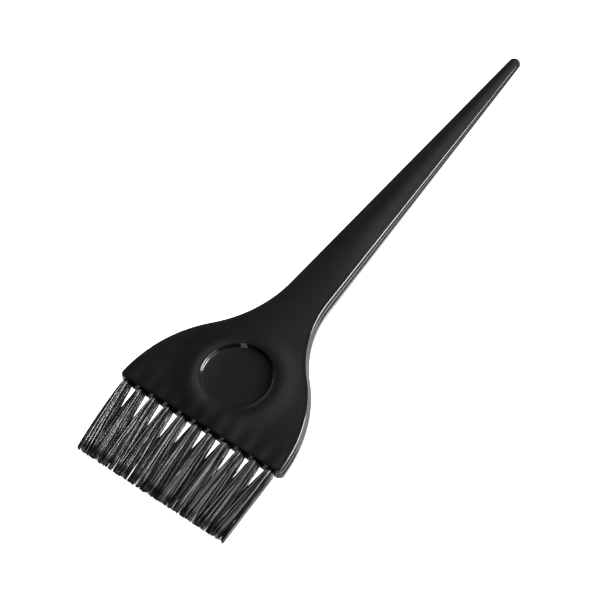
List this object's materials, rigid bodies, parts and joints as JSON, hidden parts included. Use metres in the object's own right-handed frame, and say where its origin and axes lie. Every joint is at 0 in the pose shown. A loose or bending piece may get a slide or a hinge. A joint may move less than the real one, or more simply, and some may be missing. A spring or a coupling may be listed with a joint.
{
  "type": "hair tint brush",
  "caption": "Wide salon tint brush: a glossy one-piece handle with a paddle head, a round thumb recess and one row of nylon bristle tufts.",
  "frame": {"origin": "on the flat back's plane, under the middle of the whole brush, bristles included", "axes": "+X across the head, +Y from the bristles to the tip of the handle, +Z out of the front face that has the recess"},
  "size_m": [0.0662, 0.22, 0.0066],
  "materials": {
    "handle_plastic": "gloss",
    "bristle_nylon": "semi-gloss filament",
    "anchor_metal": "rolled strip"
  },
  "bodies": {
    "root": {"handle": "handle_plastic", "tuft_01": "bristle_nylon", "tuft_02": "bristle_nylon", "tuft_03": "bristle_nylon", "tuft_04": "bristle_nylon", "tuft_05": "bristle_nylon", "tuft_06": "bristle_nylon", "tuft_07": "bristle_nylon", "tuft_08": "bristle_nylon", "tuft_09": "bristle_nylon", "tuft_10": "bristle_nylon", "tuft_11": "bristle_nylon", "anchor_01": "anchor_metal", "anchor_02": "anchor_metal", "anchor_03": "anchor_metal", "anchor_04": "anchor_metal", "anchor_05": "anchor_metal", "anchor_06": "anchor_metal", "anchor_07": "anchor_metal", "anchor_08": "anchor_metal", "anchor_09": "anchor_metal", "anchor_10": "anchor_metal", "anchor_11": "anchor_metal"}
  },
  "joints": []
}
